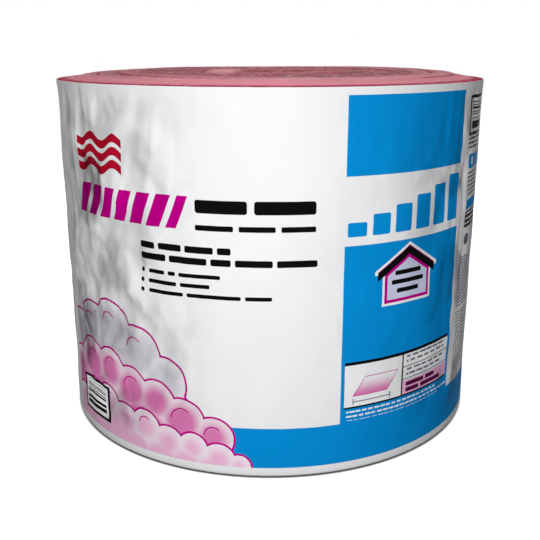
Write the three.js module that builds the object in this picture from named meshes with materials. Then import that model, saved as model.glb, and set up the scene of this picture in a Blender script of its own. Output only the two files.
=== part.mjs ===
// Insulation roll: one long glass-wool batt, wound up tight and held in a plastic film sleeve.
// Millimetres, +Z up. The roll stands on its end, the origin is the centre of its base,
// and the sleeve's front faces -Y.
import * as THREE from "three";
import { mergeVertices } from "three/addons/utils/BufferGeometryUtils.js";

// Roll
const ROLL_RADIUS = 368.2; // over the film
const SEGMENTS = 64; // facets round the roll

// Batt
const BATT_WIDTH = 584; // 23 in: the batt's width is the roll's height at its rim
const BATT_LENGTH = 11940; // 39 ft 2 in, unrolled
const EYE_RADIUS = 24; // blind hollow where the winding starts
const EYE_DEPTH = 16;
const TOP_BULGE = 9.5; // the inner turns stand this far above the rim
const BULGE_WIDTH = 70; // the bulge rises over this distance in from the film
const SHOULDER = 5; // radius of the batt's upper outer edge
const GROOVE_DEPTH = 7; // between one turn and the next
const GROOVE_SHARE = 0.2; // share of a turn that slopes into the groove on each side of it

// Film sleeve
const FILM_WALL = 1;
const FIT_GAP = 0.3; // between the film and the batt
const FILM_LOW = 0.5; // the sleeve's upper edge stays this far below the batt's rim
const BASE_ROUND = 9; // radius of the sleeve's rounded lower edge
const HEM_WIDTH = 13; // film turned in flat under the base
const HEM_LIFT = 0.6; // the hem clears the floor, and the batt carries the roll
const HEM_CLEARANCE = 3; // from the hem's edge to the flat base of the batt

// Sizes that follow from those
const BATT_RADIUS = ROLL_RADIUS - FILM_WALL - FIT_GAP;
const TURN_PITCH = (Math.PI * (BATT_RADIUS ** 2 - EYE_RADIUS ** 2)) / BATT_LENGTH;
const TURNS = (BATT_RADIUS - EYE_RADIUS) / TURN_PITCH;
const TOP_RIM = BATT_RADIUS - SHOULDER;
const BEND_RADIUS = ROLL_RADIUS - BASE_ROUND; // where the rounded lower edge starts
const BEND_HEIGHT = HEM_LIFT + BASE_ROUND;
const HEM_EDGE = BEND_RADIUS - HEM_WIDTH;
const BASE_RIM = HEM_EDGE - HEM_CLEARANCE;
const ARC_STEPS = 4;

const quarter = Math.PI / 2;
const { clamp, lerp, smoothstep } = THREE.MathUtils;

// Points of an arc in the profile plane, x outwards and y up.
function arc(x, y, radius, from, to) {
  const clockwise = to < from;
  return new THREE.EllipseCurve(x, y, radius, radius, from, to, clockwise).getPoints(ARC_STEPS);
}

// One closed surface: shared vertices merged, and triangles that have no area left out.
function closed(geometry) {
  geometry.deleteAttribute("normal");
  geometry.deleteAttribute("uv");
  const merged = mergeVertices(geometry, 1e-3);
  const corners = merged.index.array;
  const kept = [];
  for (let k = 0; k < corners.length; k += 3) {
    const [a, b, c] = corners.subarray(k, k + 3);
    if (a !== b && b !== c && c !== a) kept.push(a, b, c);
  }
  merged.setIndex(kept);
  merged.computeVertexNormals();
  return merged;
}

// The batt's two ends. side is +1 on the top and -1 on the base.
const top = {
  side: 1,
  rim: TOP_RIM,
  height: (radius) => {
    const inwards = 1 - smoothstep(radius, ROLL_RADIUS - BULGE_WIDTH, ROLL_RADIUS);
    return BATT_WIDTH + TOP_BULGE * inwards;
  },
};
const base = { side: -1, rim: BASE_RIM, height: () => 0 };

// How deep the groove between two turns is: it fades out at the eye and at the rim.
function grooveDepth(end, radius) {
  const fromEye = smoothstep(radius, EYE_RADIUS, EYE_RADIUS + TURN_PITCH / 2);
  const fromRim = 1 - smoothstep(radius, end.rim - TURN_PITCH / 2, end.rim);
  return GROOVE_DEPTH * fromEye * fromRim;
}

// Radius of the groove under turn number `turn`, which may be fractional. The first turn
// grows from nothing round the eye, and the last one thins to nothing at the rim.
function grooveRadius(end, turn) {
  return lerp(EYE_RADIUS, end.rim, clamp((turn - 1) / TURNS, 0, 1));
}

// A row of the turned profile is a function of how far round it is, from 0 to 1.
function fixedRow(radius, height) {
  return () => new THREE.Vector2(radius, height);
}

// A row on the wound end, across its turn by a share: 0 is the groove under the turn.
// Going once round moves the row out by one pitch, so it runs on into the next turn's row.
function woundRow(end, turn, across) {
  return (round) => {
    const inner = grooveRadius(end, turn + round);
    const outer = grooveRadius(end, turn + 1 + round);
    const radius = lerp(inner, outer, across);
    const depth = across === 0 ? grooveDepth(end, radius) : 0;
    return new THREE.Vector2(radius, end.height(radius) - end.side * depth);
  };
}

// The rows of one end, from the axis out to the rim.
function endRows(end) {
  const floor = end.height(EYE_RADIUS) - end.side * EYE_DEPTH;
  const rows = [fixedRow(0, floor), fixedRow(EYE_RADIUS / 2, floor)];
  for (let turn = 0; turn <= Math.ceil(TURNS); turn++) {
    for (const across of [0, GROOVE_SHARE, 1 - GROOVE_SHARE]) {
      rows.push(woundRow(end, turn, across));
    }
  }
  rows.push(fixedRow(end.rim, end.height(end.rim)));
  return rows;
}

// The batt's side: clear of the hem, round the lower edge, up the wall and over the shoulder.
function sideRows() {
  const seat = HEM_LIFT + FILM_WALL + FIT_GAP;
  const bend = BASE_ROUND - FILM_WALL - FIT_GAP;
  const points = [
    new THREE.Vector2(BASE_RIM + HEM_CLEARANCE / 2, seat),
    ...arc(BEND_RADIUS, BEND_HEIGHT, bend, -quarter, 0),
    ...arc(TOP_RIM, top.height(TOP_RIM) - SHOULDER, SHOULDER, 0, quarter).slice(0, -1),
  ];
  return points.map((point) => fixedRow(point.x, point.y));
}

// Turns rows about the axis with the seam at the back, then winds each one out by its rule.
function turned(rows) {
  const outline = rows.map((row) => row(0));
  const geometry = new THREE.LatheGeometry(outline, SEGMENTS, Math.PI);
  const position = geometry.getAttribute("position");
  for (let k = 0; k < position.count; k++) {
    const step = Math.floor(k / rows.length);
    const angle = Math.PI + ((step % SEGMENTS) / SEGMENTS) * 2 * Math.PI;
    const point = rows[k % rows.length](step / SEGMENTS);
    position.setXYZ(k, point.x * Math.sin(angle), point.y, point.x * Math.cos(angle));
  }
  return closed(geometry.rotateX(quarter));
}

// A tube open at both ends, its lower edge rounded in under the roll.
function sleeveProfile() {
  const outside = arc(BEND_RADIUS, BEND_HEIGHT, BASE_ROUND, -quarter, 0);
  const inside = arc(BEND_RADIUS, BEND_HEIGHT, BASE_ROUND - FILM_WALL, 0, -quarter);
  const edge = BATT_WIDTH - FILM_LOW;
  return [
    new THREE.Vector2(HEM_EDGE, HEM_LIFT),
    ...outside,
    new THREE.Vector2(ROLL_RADIUS, edge),
    new THREE.Vector2(ROLL_RADIUS - FILM_WALL, edge),
    ...inside,
    new THREE.Vector2(HEM_EDGE, HEM_LIFT + FILM_WALL),
    new THREE.Vector2(HEM_EDGE, HEM_LIFT),
  ];
}

function woundBatt() {
  const rows = [...endRows(base), ...sideRows(), ...endRows(top).reverse()];
  const wool = new THREE.MeshStandardMaterial({ color: 0xd98a94, roughness: 1, metalness: 0 });
  const mesh = new THREE.Mesh(turned(rows), wool);
  mesh.name = "wound_batt";
  return mesh;
}

function filmSleeve() {
  const geometry = turned(sleeveProfile().map((point) => fixedRow(point.x, point.y)));
  const film = new THREE.MeshStandardMaterial({ color: 0xf4f4f4, roughness: 0.3, metalness: 0 });
  const mesh = new THREE.Mesh(geometry, film);
  mesh.name = "film_sleeve";
  return mesh;
}

const group = new THREE.Group();
group.add(woundBatt(), filmSleeve());
export default group;
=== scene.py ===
"""The looks of an insulation roll: a batt of pink glass wool, wound up tight and standing on its end
in a printed plastic film sleeve. Metres, +Z up, the front of the sleeve faces -Y. The print is laid
out in millimetres: u runs round the sleeve from the middle of its front, and v up from the floor."""

import math

import bpy
import numpy as np
from bpy.props import FloatProperty, FloatVectorProperty, IntProperty, PointerProperty
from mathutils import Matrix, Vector


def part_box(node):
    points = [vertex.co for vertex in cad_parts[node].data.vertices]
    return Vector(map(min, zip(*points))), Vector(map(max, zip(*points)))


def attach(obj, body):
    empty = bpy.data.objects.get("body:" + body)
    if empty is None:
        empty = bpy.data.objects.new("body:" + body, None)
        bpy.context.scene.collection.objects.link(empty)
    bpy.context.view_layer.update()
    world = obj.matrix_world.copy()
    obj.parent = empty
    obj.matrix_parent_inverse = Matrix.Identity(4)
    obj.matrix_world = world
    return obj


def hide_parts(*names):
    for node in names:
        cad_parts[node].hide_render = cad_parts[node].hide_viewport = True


bl_info = {
    "name": "Insulation Roll",
    "version": (1, 0, 0),
    "blender": (4, 5, 0),
    "location": "View3D > Sidebar > Insulation Roll",
    "description": "Builds the looks of an insulation roll round its CAD frame",
    "category": "Object",
}

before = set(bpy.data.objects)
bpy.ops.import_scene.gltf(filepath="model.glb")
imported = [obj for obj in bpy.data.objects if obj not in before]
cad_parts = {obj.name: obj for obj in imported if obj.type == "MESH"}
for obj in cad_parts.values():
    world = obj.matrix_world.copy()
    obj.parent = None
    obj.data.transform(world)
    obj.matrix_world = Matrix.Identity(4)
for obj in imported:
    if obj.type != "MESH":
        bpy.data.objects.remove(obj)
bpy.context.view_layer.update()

MM = 0.001
TURN = 2 * math.pi
WOOL_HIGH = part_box("wound_batt")[1]
FILM_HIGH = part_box("film_sleeve")[1]
WOOL_RADIUS = WOOL_HIGH.x
FILM_RADIUS = FILM_HIGH.x
FILM_TOP = FILM_HIGH.z + 0.0006  # the film's upper edge stands level with the batt's rim
BACK = math.pi / 2  # the angle of the sleeve's seam and of the batt's tail, at the back

BAKE_MAP = "OFBake"  # the packed map that a texture bake may use
PRINT_MAP = "print"  # the film's u and v, in metres


# --- Settings ---------------------------------------------------------------------------------


def length(name, default, description, low=0.0):
    """A length in metres that a user may change."""
    return FloatProperty(
        name=name, description=description, default=default, min=low,
        soft_max=max(4 * default, 4 * MM), unit="LENGTH", precision=4,
    )


def number(name, default, description, **kind):
    """A number from 0 up that a user may change."""
    return FloatProperty(name=name, description=description, default=default, min=0.0, **kind)


def whole(name, default, description, low=0):
    """A whole number that a user may change."""
    return IntProperty(name=name, description=description, default=default, min=low)


def colour(name, default, description):
    """A colour that a user may change, as it looks on the screen."""
    return FloatVectorProperty(
        name=name, description=description, default=default, size=3, min=0.0, max=1.0,
        subtype="COLOR_GAMMA",
    )


class BattSettings(bpy.types.PropertyGroup):
    """Sizes and colours of the wound glass wool."""

    width: length("Width", 0.584, "Width of the batt, which is the height of the roll at its rim")
    pitch: length("Pitch", 0.0353, "Thickness of one squeezed turn", low=0.005)
    eye: length("Eye", 0.003, "Radius at which the winding starts", low=0.001)
    dimple: length("Dimple", 0.014, "How far the first turns sit below the others")
    bulge: length("Bulge", 0.0095, "How far the upper end rises above its rim")
    groove: length("Groove", 0.0050, "Depth of the groove between two turns")
    gap: length("Gap", 0.0006, "Free space between two turns")
    wobble: length("Wobble", 0.011, "How far the turns stray from a true spiral")
    steps: whole("Steps", 3000, "Steps along the batt", low=200)
    seed: whole("Seed", 3, "Seed of the wool's noise")
    pale: colour("Pale Wool", (0.97, 0.68, 0.71), "Dusty pink of the wool's raised fibres")
    mid: colour("Pink Wool", (0.64, 0.36, 0.41), "Pink of the wool")
    # Painted shade: this deep pink darkens the grooves, the centre and the rim, where the wool is also
    # pressed denser
    shade_pink: colour("Deep Wool", (0.74, 0.20, 0.33), "Pink of the wool in grooves and at the rim")
    # Painted light: the turns just inside the rim are brightened with this pink
    outer: colour("Outer Turns", (1.0, 0.62, 0.69), "Bright pink of the turns next to the rim")
    # Painted highlight: this pale pink lights the wool where it stands proud
    tuft_highlight: colour("Tufts", (1.0, 0.74, 0.78), "Pale pink where the wool stands proud")
    # Near-white single fibres, partly painted glints of fibres that catch the light
    speck_glint: colour("Specks", (0.98, 0.86, 0.86), "Near white of single fibres")
    sheen: colour("Sheen", (1.0, 0.86, 0.87), "Tint of the wool's sheen")


class FibreSettings(bpy.types.PropertyGroup):
    """Loose wisps that stand off the wool."""

    density: number("Density", 5000.0, "Wisps on a square metre")
    span: length("Length", 0.014, "Length of a wisp")
    radius: length("Radius", 0.00015, "Radius of a wisp", low=0.00005)
    lift: length("Lift", 0.0007, "How far the middle of a wisp stands off the wool")
    seed: whole("Seed", 11, "Seed of the wisps")
    glassy: colour("Glassy", (0.98, 0.82, 0.84), "Colour of the palest wisps")


class FilmSettings(bpy.types.PropertyGroup):
    """Sizes and finish of the plastic film."""

    wall: length("Wall", 0.001, "Thickness of the film as it is drawn", low=0.0004)
    lip: length("Lip", 0.0005, "Thickness of the film at its upper edge", low=0.0002)
    round_over: length("Rounded Edge", 0.006, "Radius of the lower edge")
    hem: length("Hem", 0.013, "Width of film turned in under the base")
    hem_lift: length("Hem Lift", 0.0006, "Height of the hem above the floor")
    dent: length("Dents", 0.0022, "Depth of the film's soft dents")
    pucker: length("Puckers", 0.0034, "Depth of the hollows between the film's folds")
    crease: length("Creases", 0.0017, "Depth of the film's long creases")
    columns: whole("Columns", 576, "Columns of faces round the film", low=64)
    rows: whole("Rows", 96, "Rows of faces up the outside of the film", low=16)
    seed: whole("Seed", 5, "Seed of the film's dents")
    roughness: number("Roughness", 0.45, "Roughness of the film", max=1.0, subtype="FACTOR")
    tilt: number("Facets", 0.95, "How far the film's flat facets tilt this way and that")
    # Painted shade: how far the film's colour is darkened in its deepest hollows
    painted_shade_share: number(
        "Shade", 0.24, "How much darker the film is in its deepest hollows", max=1.0, subtype="FACTOR"
    )


class PrintSettings(bpy.types.PropertyGroup):
    """Inks on the film."""

    film: colour("Film", (0.965, 0.965, 0.97), "White of the film")
    cloudy: colour("Cloudy Film", (0.90, 0.91, 0.915), "Greyer white in the film's cloudy places")
    blue: colour("Blue", (0.03, 0.56, 0.85), "Blue ink of the panels")
    navy: colour("Dark Blue", (0.05, 0.16, 0.36), "Dark blue ink of the small print")
    magenta: colour("Magenta", (0.76, 0.0, 0.54), "Magenta ink of outlines and strokes")
    red: colour("Red", (0.74, 0.07, 0.19), "Red ink of the waves")
    black: colour("Black", (0.06, 0.06, 0.065), "Black ink")
    slate: colour("Slate", (0.42, 0.43, 0.47), "Dark grey ink of the small print")
    plum: colour("Plum", (0.36, 0.04, 0.25), "Dark ink of the table's bars")
    lilac: colour("Lilac", (0.81, 0.83, 0.93), "Pale ink inside the house")
    grey: colour("Grey", (0.82, 0.81, 0.84), "Pale grey ink of the rear clouds")
    rose: colour("Rose", (0.87, 0.49, 0.71), "Rose ink of the middle clouds")
    blush: colour("Blush", (0.95, 0.73, 0.86), "Palest pink ink, of the front clouds")


class StageSettings(bpy.types.PropertyGroup):
    """Lamps and camera."""

    key: number("Key Lamp", 18.5, "Power of the front lamp", unit="POWER")
    rear: number("Rear Lamps", 8.0, "Power of each lamp behind, to the sides", unit="POWER")
    back: number("Back Lamp", 15.0, "Power of the lamp straight behind", unit="POWER")
    overhead: number("Overhead Lamp", 19.5, "Power of the lamp above", unit="POWER")
    ambient: number("Ambient", 0.03, "Strength of the light from all round", max=1.0)
    distance: length("Camera Distance", 1.412, "From the roll's axis to the camera")
    height: length("Camera Height", 0.636, "From the floor to the camera")
    pitch: number(
        "Camera Pitch", math.radians(16.22), "How far the camera looks down", subtype="ANGLE"
    )
    lens: number("Lens", 51.28, "Focal length", unit="CAMERA")


# --- Nodes as formulas ------------------------------------------------------------------------


def sign(operation):
    """A method that adds one Math node to a Field's tree."""
    def method(self, *others):
        return self.math(operation, *others)

    return method


class Field:
    """The output of a node. It can stand in a formula, where each sign adds a Math node."""

    def __init__(self, tree, socket):
        self.tree = tree
        self.socket = socket

    def math(self, operation, *others):
        return make(self.tree, "ShaderNodeMath", dict(enumerate((self, *others))), operation=operation)

    __add__ = __radd__ = sign("ADD")
    __sub__ = sign("SUBTRACT")
    __mul__ = sign("MULTIPLY")
    __truediv__ = sign("DIVIDE")
    __pow__ = sign("POWER")
    __abs__ = sign("ABSOLUTE")
    __lt__ = sign("LESS_THAN")
    __gt__ = sign("GREATER_THAN")
    floor = sign("FLOOR")
    fraction = sign("FRACT")
    root = sign("SQRT")
    sine = sign("SINE")
    cosine = sign("COSINE")
    least = sign("MINIMUM")
    most = sign("MAXIMUM")
    near = sign("COMPARE")  # 1 where it is no further than a reach from a middle, 0 elsewhere

    def __rsub__(self, other):
        return self * -1.0 + other

    def clamped(self):
        return self.least(1.0).most(0.0)

    def step(self, low, high):
        """Rises smoothly from 0 at low to 1 at high."""
        inputs = {"Value": self, "From Min": low, "From Max": high}
        return make(self.tree, "ShaderNodeMapRange", inputs, interpolation_type="SMOOTHSTEP")

    def fall(self, low, high):
        """Falls smoothly from 1 at low to 0 at high."""
        return 1.0 - self.step(low, high)

    def between(self, low, high):
        """1 from low to high, 0 elsewhere."""
        return self.near((low + high) / 2, (high - low) / 2)


def fill(node, inputs):
    """Links or sets inputs of a node, each by its name or number, with a Field or a plain value."""
    for name, value in inputs.items():
        if isinstance(value, Field):
            value.tree.links.new(value.socket, node.inputs[name])
        else:
            node.inputs[name].default_value = value


def make(tree, kind, inputs=None, output=0, **settings):
    """Adds a node with these inputs and returns one output of it as a Field."""
    made = tree.nodes.new(kind)
    for name, value in settings.items():
        setattr(made, name, value)
    fill(made, inputs or {})
    return Field(tree, made.outputs[output])


def parts(vector):
    """The x, y and z of a vector Field."""
    split = make(vector.tree, "ShaderNodeSeparateXYZ", {0: vector})
    return [Field(vector.tree, socket) for socket in split.socket.node.outputs]


def joined(tree, x, y, z=0.0):
    """A vector Field of three numbers or Fields."""
    return make(tree, "ShaderNodeCombineXYZ", {0: x, 1: y, 2: z})


def noise(vector, scale, detail=2.0, roughness=0.5, output="Fac"):
    """Soft noise from 0 to 1 on a vector."""
    inputs = {"Vector": vector, "Scale": scale, "Detail": detail, "Roughness": roughness}
    return make(vector.tree, "ShaderNodeTexNoise", inputs, output)


def rgba(settings_colour):
    """A colour as it looks on the screen, as the linear one that a shader takes."""
    def linear(c):
        return c / 12.92 if c <= 0.04045 else ((c + 0.055) / 1.055) ** 2.4

    return (*[linear(c) for c in settings_colour], 1.0)


def vector_math(operation, *vectors, output=0):
    """A Field of vector arithmetic. A number, such as a length, is output 1."""
    inputs = dict(enumerate(vectors))
    return make(vectors[0].tree, "ShaderNodeVectorMath", inputs, output, operation=operation)


def scaled(vector, scale):
    """A vector Field times a number."""
    inputs = {0: vector, "Scale": scale}
    return make(vector.tree, "ShaderNodeVectorMath", inputs, operation="SCALE")


# The numbers of a Mix node's start, end and output for each kind of value
MIX_SOCKETS = {"RGBA": (6, 7, 2), "VECTOR": (4, 5, 1)}


def mix(share, start, end, kind="RGBA"):
    """A colour or vector Field from start to end by a share."""
    from_slot, to_slot, output = MIX_SOCKETS[kind]
    inputs = {0: share, from_slot: start, to_slot: end}
    return make(share.tree, "ShaderNodeMix", inputs, output, data_type=kind)


def from_axis(x, y):
    """How far a place is from the roll's axis."""
    return (x * x + y * y).root()


# --- Objects ----------------------------------------------------------------------------------


def add_object(name, mesh):
    """Puts a mesh in the scene as an object at the origin."""
    made = bpy.data.objects.new(name, mesh)
    bpy.context.scene.collection.objects.link(made)
    return made


def new_tree(name, inputs):
    """An empty Geometry Nodes tree with named inputs: {name: (socket type, default)}."""
    tree = bpy.data.node_groups.new(name, "GeometryNodeTree")
    for label, (kind, default) in inputs.items():
        socket = tree.interface.new_socket(label, in_out="INPUT", socket_type=kind)
        if default is not None:
            socket.default_value = default
    tree.interface.new_socket("Geometry", in_out="OUTPUT", socket_type="NodeSocketGeometry")
    entry = tree.nodes.new("NodeGroupInput")
    given = {label: Field(tree, entry.outputs[label]) for label in inputs}
    return tree, given


def end_tree(tree, geometry, material):
    """Realizes what the tree made, gives it its material and sends it out."""
    real = make(tree, "GeometryNodeRealizeInstances", {"Geometry": geometry})
    softened = make(tree, "GeometryNodeSetShadeSmooth", {"Geometry": real})
    painted = make(tree, "GeometryNodeSetMaterial", {"Geometry": softened, "Material": material})
    tree.links.new(painted.socket, tree.nodes.new("NodeGroupOutput").inputs["Geometry"])


def grow(name, tree, values):
    """Runs a tree with these input values and returns what it makes as a plain mesh object."""
    seedling = add_object(name + "_nodes", bpy.data.meshes.new(name + "_nodes"))
    modifier = seedling.modifiers.new(tree.name, "NODES")
    modifier.node_group = tree
    for item in tree.interface.items_tree:
        if item.in_out == "INPUT":
            modifier[item.identifier] = values[item.name]
    bpy.context.view_layer.update()
    evaluated = seedling.evaluated_get(bpy.context.evaluated_depsgraph_get())
    mesh = bpy.data.meshes.new_from_object(evaluated)
    bpy.data.objects.remove(seedling)
    mesh.name = name
    return add_object(name, mesh)


def new_material(name, roughness):
    """A material, its main shader, and a Field of where each point is on its object."""
    material = bpy.data.materials.new(name)
    material.use_nodes = True
    tree = material.node_tree
    shader = tree.nodes["Principled BSDF"]
    fill(shader, {"Roughness": roughness})
    return material, shader, make(tree, "ShaderNodeTexCoord", output="Object")


# --- The wound batt ---------------------------------------------------------------------------

# The batt's cross-section, as a loop of points: over its upper edge, down its outer face,
# along its lower edge and up its inner face.
UPPER_POINTS = 22
LOWER_POINTS = 7
OUTER_MID = UPPER_POINTS  # the number of the point partway down the outer face
LOWER_FIRST = OUTER_MID + 1
LOWER_LAST = LOWER_FIRST + LOWER_POINTS - 1
INNER_MID = LOWER_LAST + 1  # and of the one partway up the inner face
LOOP_POINTS = INNER_MID + 1

THIN_END = 0.003  # thickness of the batt at its two ends
FULL_THICKNESS = 0.018  # a thinner stretch of batt, at its two ends, is flatter too
STEP_GROWTH = 1.3  # the steps along the batt are finer near the middle of the roll
MOST_TURNS = 13
MERGE = 0.02 * MM
WAIST_DROP = 0.036  # this far below the rim, the wool stands clear of the film's dents
WAIST_SHARE = (FILM_RADIUS - 0.0107) / WOOL_RADIUS
BULGE_WIDTH = 0.070
DIMPLE = (0.006, 0.040)  # radii between which the first turns rise to the level of the others
HEM_CLEAR = (0.3405, 0.3435)  # outside these radii the wool's base makes room for the film's hem
HEM_ROOM = 0.0021
GROOVE_SHAPE = 3.2  # 2 rounds a turn like a circle, and more makes it flatter
LOWER_SHARE = 0.8  # of the upper end's grooves and dimple on the lower end, which is pressed flat

# The settings that the batt's tree takes by name
LENGTHS = ("Width", "Pitch", "Eye", "Dimple", "Bulge", "Groove", "Gap", "Wobble")

# The turns are loose and a little oval in the middle, and held round at the rim.
BROAD_WOBBLE = 0.16
SMALL_WOBBLE = 0.055
SMALL_SHARE = 0.30
LOOSE = (0.010, 0.060)  # they grow loose between these radii
HELD = (WOOL_RADIUS - 0.075, WOOL_RADIUS - 0.004)
OVAL = 0.10
ROUND = (0.05, 0.26)  # they lose their oval between these radii

# Unevenness of an end, with the heights in metres. Towards the rim it is calmer.
RISE, SWELL, LAYER, TUFT = 0.010, 0.0030, 0.0026, 0.0010
TUFT_SIZE = 0.016
CALM = (WOOL_RADIUS - 0.055, WOOL_RADIUS - 0.012)
SPLITS = ((13.0, 0.34), (29.0, 0.68))  # the shift of its noise, and its place across the turn
SPLIT_WIDTH = 0.0035
SPLIT_DEPTH = 0.0022
PROUD_PLACE = 1.504  # this far along the batt, a short stretch of it stands proud
PROUD_REACH = (0.018, 0.055)
PROUD_HEIGHT = 0.0045

# Radii and heights between which the wool's colour changes: painted shade at the rim, at the centre and
# in the grooves, painted light on the outer turns, and a painted highlight where the wool stands proud
RIM_SHADE_BAND = (WOOL_RADIUS - 0.024, WOOL_RADIUS - 0.008)
OUTER_LIGHT_BAND = (WOOL_RADIUS - 0.060, WOOL_RADIUS - 0.030)
PALE_LIGHT_BAND = (0.235, 0.32)
CENTRE_SHADE_BAND = (0.02, 0.22)
HIGHLIGHT_RELIEF = (0.0025, 0.0065)
FILLED = (0.001, 0.004)

# Where each part of the batt lies in the bake map: the two ends as discs, the walls in a strip
UPPER_DISC = (0.365, 0.635, 0.355)  # u, v and radius
LOWER_DISC = (0.815, 0.335, 0.175)
STRIP_HEIGHT = 0.145
STRIP_PLACE = (0.02, 0.002)
STRIP_LENGTH = 0.94
WALL_ROWS = 4  # of faces on the two walls of one turn


def section(across_loop):
    """Where a point of the loop is: its share across the turn, and its level from 0 to 1."""
    over = (across_loop / (UPPER_POINTS - 1)).clamped()
    back = ((across_loop - LOWER_FIRST) / (LOWER_POINTS - 1)).clamped()
    across = over - back
    down = ((across_loop - (UPPER_POINTS - 1)) / 2).clamped()
    up = ((across_loop - LOWER_LAST) / 2).clamped()
    level = 1.0 - down + up
    packed = (across + across.step(0.0, 1.0)) * 0.5  # more points near the grooves
    return packed, level


def rounding(across, sharpness):
    """How far down a rounded edge is, from 0 over the middle of a turn to 1 in the groove."""
    aside = abs(across * 2.0 - 1.0)
    return 1.0 - (1.0 - aside**sharpness).most(0.0) ** (1.0 / sharpness)


def bake_place(tree, turns, radius, rank):
    """Where a corner of the batt lies in the bake map. Its rank is its place round the loop."""
    def on_face(field):
        return make(tree, "GeometryNodeFieldOnDomain", {0: field}, data_type="FLOAT", domain="FACE")

    def disc(place, side):
        u, v, size = place
        reach = radius * (size / WOOL_RADIUS)
        angle = turns * TURN
        return joined(tree, angle.cosine() * reach + u, angle.sine() * reach * side + v)

    face = on_face(rank)
    on_upper = face < UPPER_POINTS - 1
    on_lower = (face > LOWER_FIRST) * (face < LOWER_LAST)
    turn = on_face(turns).floor()
    row = (rank - (UPPER_POINTS - 1)).most(0.0).least(2.0) + (rank - LOWER_LAST).most(0.0)
    height = (turn * WALL_ROWS + row) * (STRIP_HEIGHT / (WALL_ROWS * MOST_TURNS))
    strip_u, strip_v = STRIP_PLACE
    strip = joined(tree, (turns - turn) * STRIP_LENGTH + strip_u, height + strip_v)
    off_upper = mix(on_lower, strip, disc(LOWER_DISC, -1.0), "VECTOR")
    return mix(on_upper, off_upper, disc(UPPER_DISC, 1.0), "VECTOR")


def winding(flat_x, given):
    """Where a step along the batt is: its inner and outer radius, how many turns it has gone
    round and how far along the batt it lies. Its outer face keeps to an even spiral."""
    pitch, eye, rim = given["Pitch"], given["Eye"], given["Radius"]
    first = eye + THIN_END
    last = rim + pitch - THIN_END
    done = (flat_x + 0.5) ** STEP_GROWTH
    reach = (first * first + done * (last * last - first * first)).root()
    turns = (reach - last) / pitch + (BACK / TURN + MOST_TURNS)
    along = (reach * reach - eye * eye) / pitch * math.pi
    return (reach - pitch).most(eye), reach.least(rim), turns, along


def settling(tree, x, y, radius, level, given):
    """How far the turns stray sideways from a true spiral."""
    place = joined(tree, x, y, level * 0.1 + given["Seed"])
    broad = parts(noise(place, 1 / BROAD_WOBBLE, 1.0, output="Color"))
    small = parts(noise(place, 1 / SMALL_WOBBLE, 1.0, output="Color"))
    free = radius.step(*LOOSE) * radius.fall(*HELD)
    sway = given["Wobble"] * free * 2.0
    oval = radius.fall(*ROUND) * OVAL
    moved_x = (broad[0] - 0.5 + (small[0] - 0.5) * SMALL_SHARE) * sway + x * oval
    moved_y = (broad[1] - 0.5 + (small[1] - 0.5) * SMALL_SHARE) * sway - y * oval
    return moved_x, moved_y


def wool_relief(place, along, across, thickness, given):
    """How far the wool of an end stands up: each turn rises and sinks along the batt, it has
    tufts and layers, and here and there it is split along a layer."""
    tree, seed = place.tree, given["Seed"]
    rise = noise(joined(tree, along * 0.9, 0.0, seed + 9), 1.0, 1.0) - 0.5
    swell = noise(joined(tree, along * 2.6, across * 0.4, seed + 5), 1.0, 1.0) - 0.5
    layers = noise(joined(tree, along * 4.0, across * thickness * 190.0, seed), 1.0, 2.0) - 0.5
    tufts = noise(place, 1 / TUFT_SIZE, 3.0, 0.6) - 0.5
    relief = rise * RISE + swell * SWELL + layers * LAYER + tufts * TUFT
    for shift, middle in SPLITS:
        stray = noise(joined(tree, along * 2.1, shift, seed), 1.0, 2.0) - 0.5
        apart = abs(across - middle - stray * 0.9) * thickness
        open_here = noise(joined(tree, along * 2.7, shift + 5, seed), 1.0, 1.0).step(0.46, 0.60)
        relief = relief - apart.fall(0.0, SPLIT_WIDTH) * open_here * SPLIT_DEPTH
    proud = abs(along - PROUD_PLACE).fall(*PROUD_REACH)
    return relief + proud * PROUD_HEIGHT


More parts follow.
